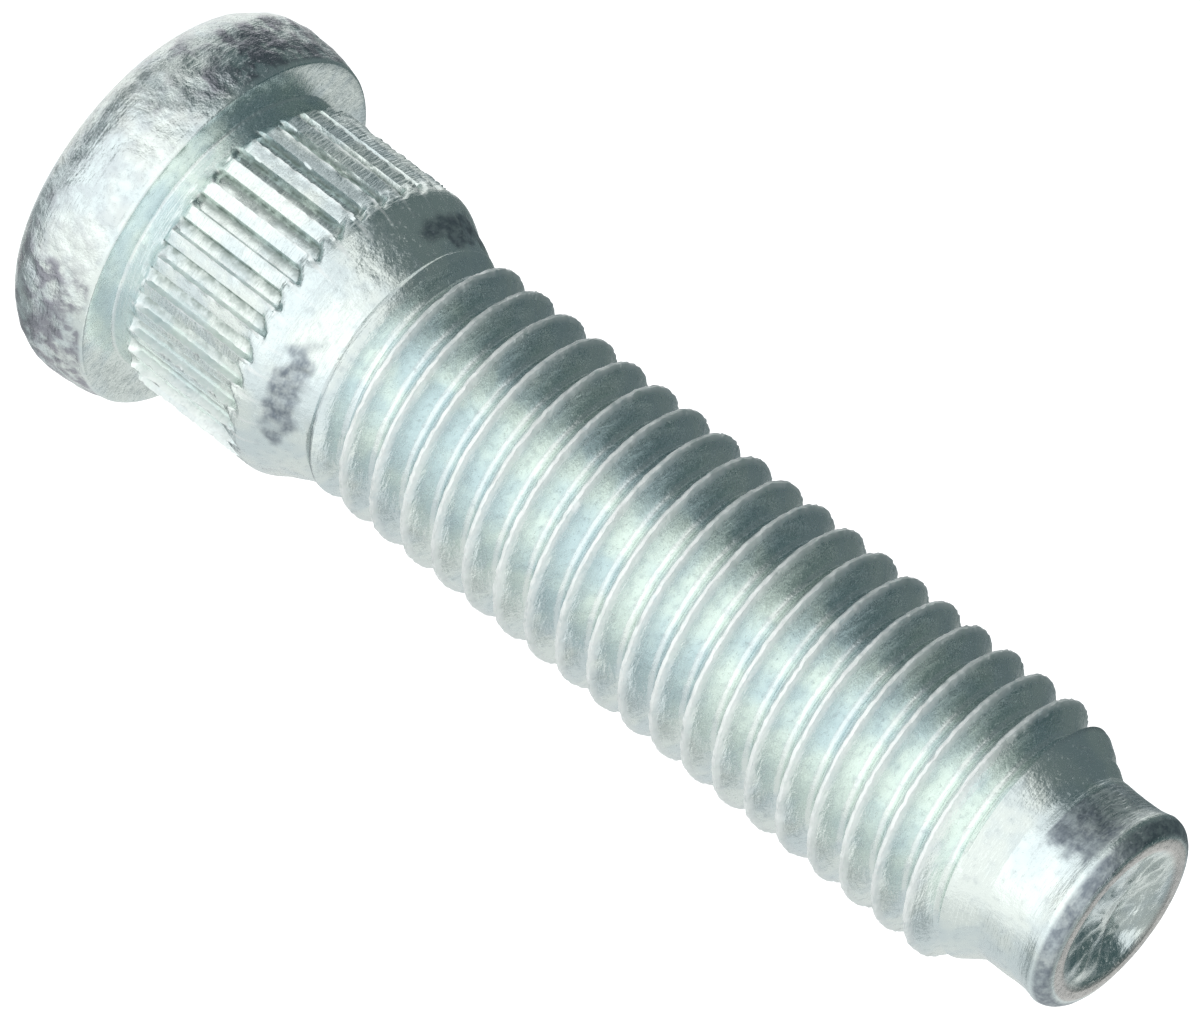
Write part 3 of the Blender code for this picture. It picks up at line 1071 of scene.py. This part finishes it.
def studio_flag(number, azimuth, elevation, half_width, half_height, shade):
    """One soft-edged flag: a grid curved round the stud, with its shade kept on its vertices."""
    deselect_objects()
    bpy.ops.mesh.primitive_grid_add(x_subdivisions=FLAG_CUTS, y_subdivisions=FLAG_CUTS, size=2.0)
    flag = bpy.context.object
    flag.name = f"studio_flag_{number}"
    points = read_points(flag.data)
    across = points[:, 0].copy()
    upward = points[:, 1].copy()
    for index in range(len(points)):
        turned = azimuth + half_width * across[index]
        risen = elevation + half_height * upward[index]
        risen = max(-FLAG_STEEPEST, min(FLAG_STEEPEST, risen))
        points[index] = studio_direction(radians(turned), radians(risen)) * FLAG_DISTANCE
    write_points(flag.data, points)
    edge = smooth(0.0, FLAG_SOFT_EDGE, 1.0 - np.abs(across))
    edge = edge * smooth(0.0, FLAG_SOFT_EDGE, 1.0 - np.abs(upward))
    keep_marks(flag.data, {"shade": shade * edge})
    return flag


def studio_flags(studio):
    """The dark teal flags that the metal reflects; the camera doesn't see them."""
    material = bpy.data.materials.new("dark_flag")
    material.use_nodes = True
    tree = material.node_tree
    tree.nodes.clear()
    clear = node(tree, "ShaderNodeBsdfTransparent")
    dark = node(tree, "ShaderNodeEmission", {"Color": (*studio.flag_colour, 1.0), "Strength": 1.0})
    mixed = node(
        tree, "ShaderNodeMixShader", {0: mark(tree, "shade"), 1: clear.outputs[0], 2: dark.outputs[0]}
    )
    node(tree, "ShaderNodeOutputMaterial", {"Surface": mixed.outputs[0]})
    for number, flag_place in enumerate(STUDIO_FLAGS):
        flag = studio_flag(number, *flag_place)
        flag.data.materials.append(material)
        flag.visible_camera = False


def studio_lamp(studio):
    """A large soft box in front of the stud."""
    lamp = bpy.data.objects.new("soft_box", bpy.data.lights.new("soft_box", "AREA"))
    lamp.data.shape = "SQUARE"
    lamp.data.size = LAMP_SIZE
    lamp.data.energy = studio.lamp_power
    toward = studio_direction(LAMP_AZIMUTH, 0.0)
    lamp.location = toward * LAMP_DISTANCE
    lamp.rotation_euler = toward.to_track_quat("Z", "Y").to_euler()
    lamp.visible_camera = False
    bpy.context.scene.collection.objects.link(lamp)


def studio_camera():
    """The photograph's view: a long lens above the stud's middle, rolled so the point is lower right."""
    toward = Vector((0.0, -cos(VIEW_ELEVATION), sin(VIEW_ELEVATION)))
    along = Vector((0.0, sin(VIEW_ELEVATION), cos(VIEW_ELEVATION)))
    beside = toward.cross(along)
    right = along * cos(VIEW_ROLL) + beside * sin(VIEW_ROLL)
    up = beside * cos(VIEW_ROLL) - along * sin(VIEW_ROLL)
    aim = right * VIEW_RIGHT + up * VIEW_UP + Vector((0.0, 0.0, VIEW_HEIGHT))
    centre = toward * VIEW_DISTANCE + aim
    camera = bpy.data.objects.new("camera", bpy.data.cameras.new("camera"))
    bpy.context.scene.collection.objects.link(camera)
    camera.matrix_world = Matrix(
        (
            (right.x, up.x, toward.x, centre.x),
            (right.y, up.y, toward.y, centre.y),
            (right.z, up.z, toward.z, centre.z),
            (0.0, 0.0, 0.0, 1.0),
        )
    )
    camera.data.sensor_fit = "HORIZONTAL"
    camera.data.sensor_width = VIEW_SENSOR
    camera.data.lens = VIEW_LENS
    camera.data.clip_start = VIEW_NEAREST
    bpy.context.scene.camera = camera


class WHEELSTUD_OT_stud(bpy.types.Operator):
    """Model the whole stud as one closed skin, with its splines, thread, point and zinc plate"""

    bl_idname = "wheel_stud.stud"
    bl_label = "Wheel Stud"

    def execute(self, context):
        stud = Stud(context.scene.stud_shape)
        profile = head_profile(stud) + shank_profile(stud)
        body = turned_piece("body", stud.columns, profile, True, False)
        shape_body(stud, body)
        thread = thread_piece(stud)
        shape_thread(stud, thread)
        point = turned_piece("point", POINT_COLUMNS, point_profile(stud), False, True)
        shape_point(stud, point)
        whole = join_pieces([body, thread, point], stud)
        whole.name = "zinc_stud"
        whole.data.name = "zinc_stud"
        bpy.ops.object.shade_smooth_by_angle(angle=SMOOTH_ANGLE)
        whole.data.materials.clear()
        whole.data.materials.append(zinc_plate(context.scene.zinc_finish))
        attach(whole, "root")
        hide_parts("wheel_stud")
        return {"FINISHED"}


class WHEELSTUD_OT_stage(bpy.types.Operator):
    """Set up the pale floor, the soft studio light and the photograph's camera"""

    bl_idname = "wheel_stud.stage"
    bl_label = "Stage"

    def execute(self, context):
        studio = context.scene.stud_studio
        studio_world(studio)
        studio_floor(studio)
        studio_flags(studio)
        studio_lamp(studio)
        studio_camera()
        context.scene.view_settings.view_transform = "Standard"
        return {"FINISHED"}


class WHEELSTUD_PT_panel(bpy.types.Panel):
    """The stud's sizes, finish and studio, and the operators that make them"""

    bl_idname = "WHEELSTUD_PT_panel"
    bl_label = "Wheel Stud"
    bl_space_type = "VIEW_3D"
    bl_region_type = "UI"
    bl_category = "Wheel Stud"

    def draw(self, context):
        scene = context.scene
        for settings in (scene.stud_shape, scene.zinc_finish, scene.stud_studio):
            box = self.layout.box()
            for name in settings.__annotations__:
                box.prop(settings, name)
        for operator in STEPS:
            self.layout.operator(operator.bl_idname)


SETTINGS = {"stud_shape": StudShape, "zinc_finish": ZincFinish, "stud_studio": StudioSettings}
STEPS = (WHEELSTUD_OT_stud, WHEELSTUD_OT_stage)


def register():
    for name, settings in SETTINGS.items():
        bpy.utils.register_class(settings)
        setattr(bpy.types.Scene, name, PointerProperty(type=settings))
    for made in (*STEPS, WHEELSTUD_PT_panel):
        bpy.utils.register_class(made)


def unregister():
    for made in (WHEELSTUD_PT_panel, *STEPS):
        bpy.utils.unregister_class(made)
    for name, settings in SETTINGS.items():
        delattr(bpy.types.Scene, name)
        bpy.utils.unregister_class(settings)


def main():
    register()
    bpy.ops.wheel_stud.stud()
    bpy.ops.wheel_stud.stage()


if __name__ == "__main__":
    main()
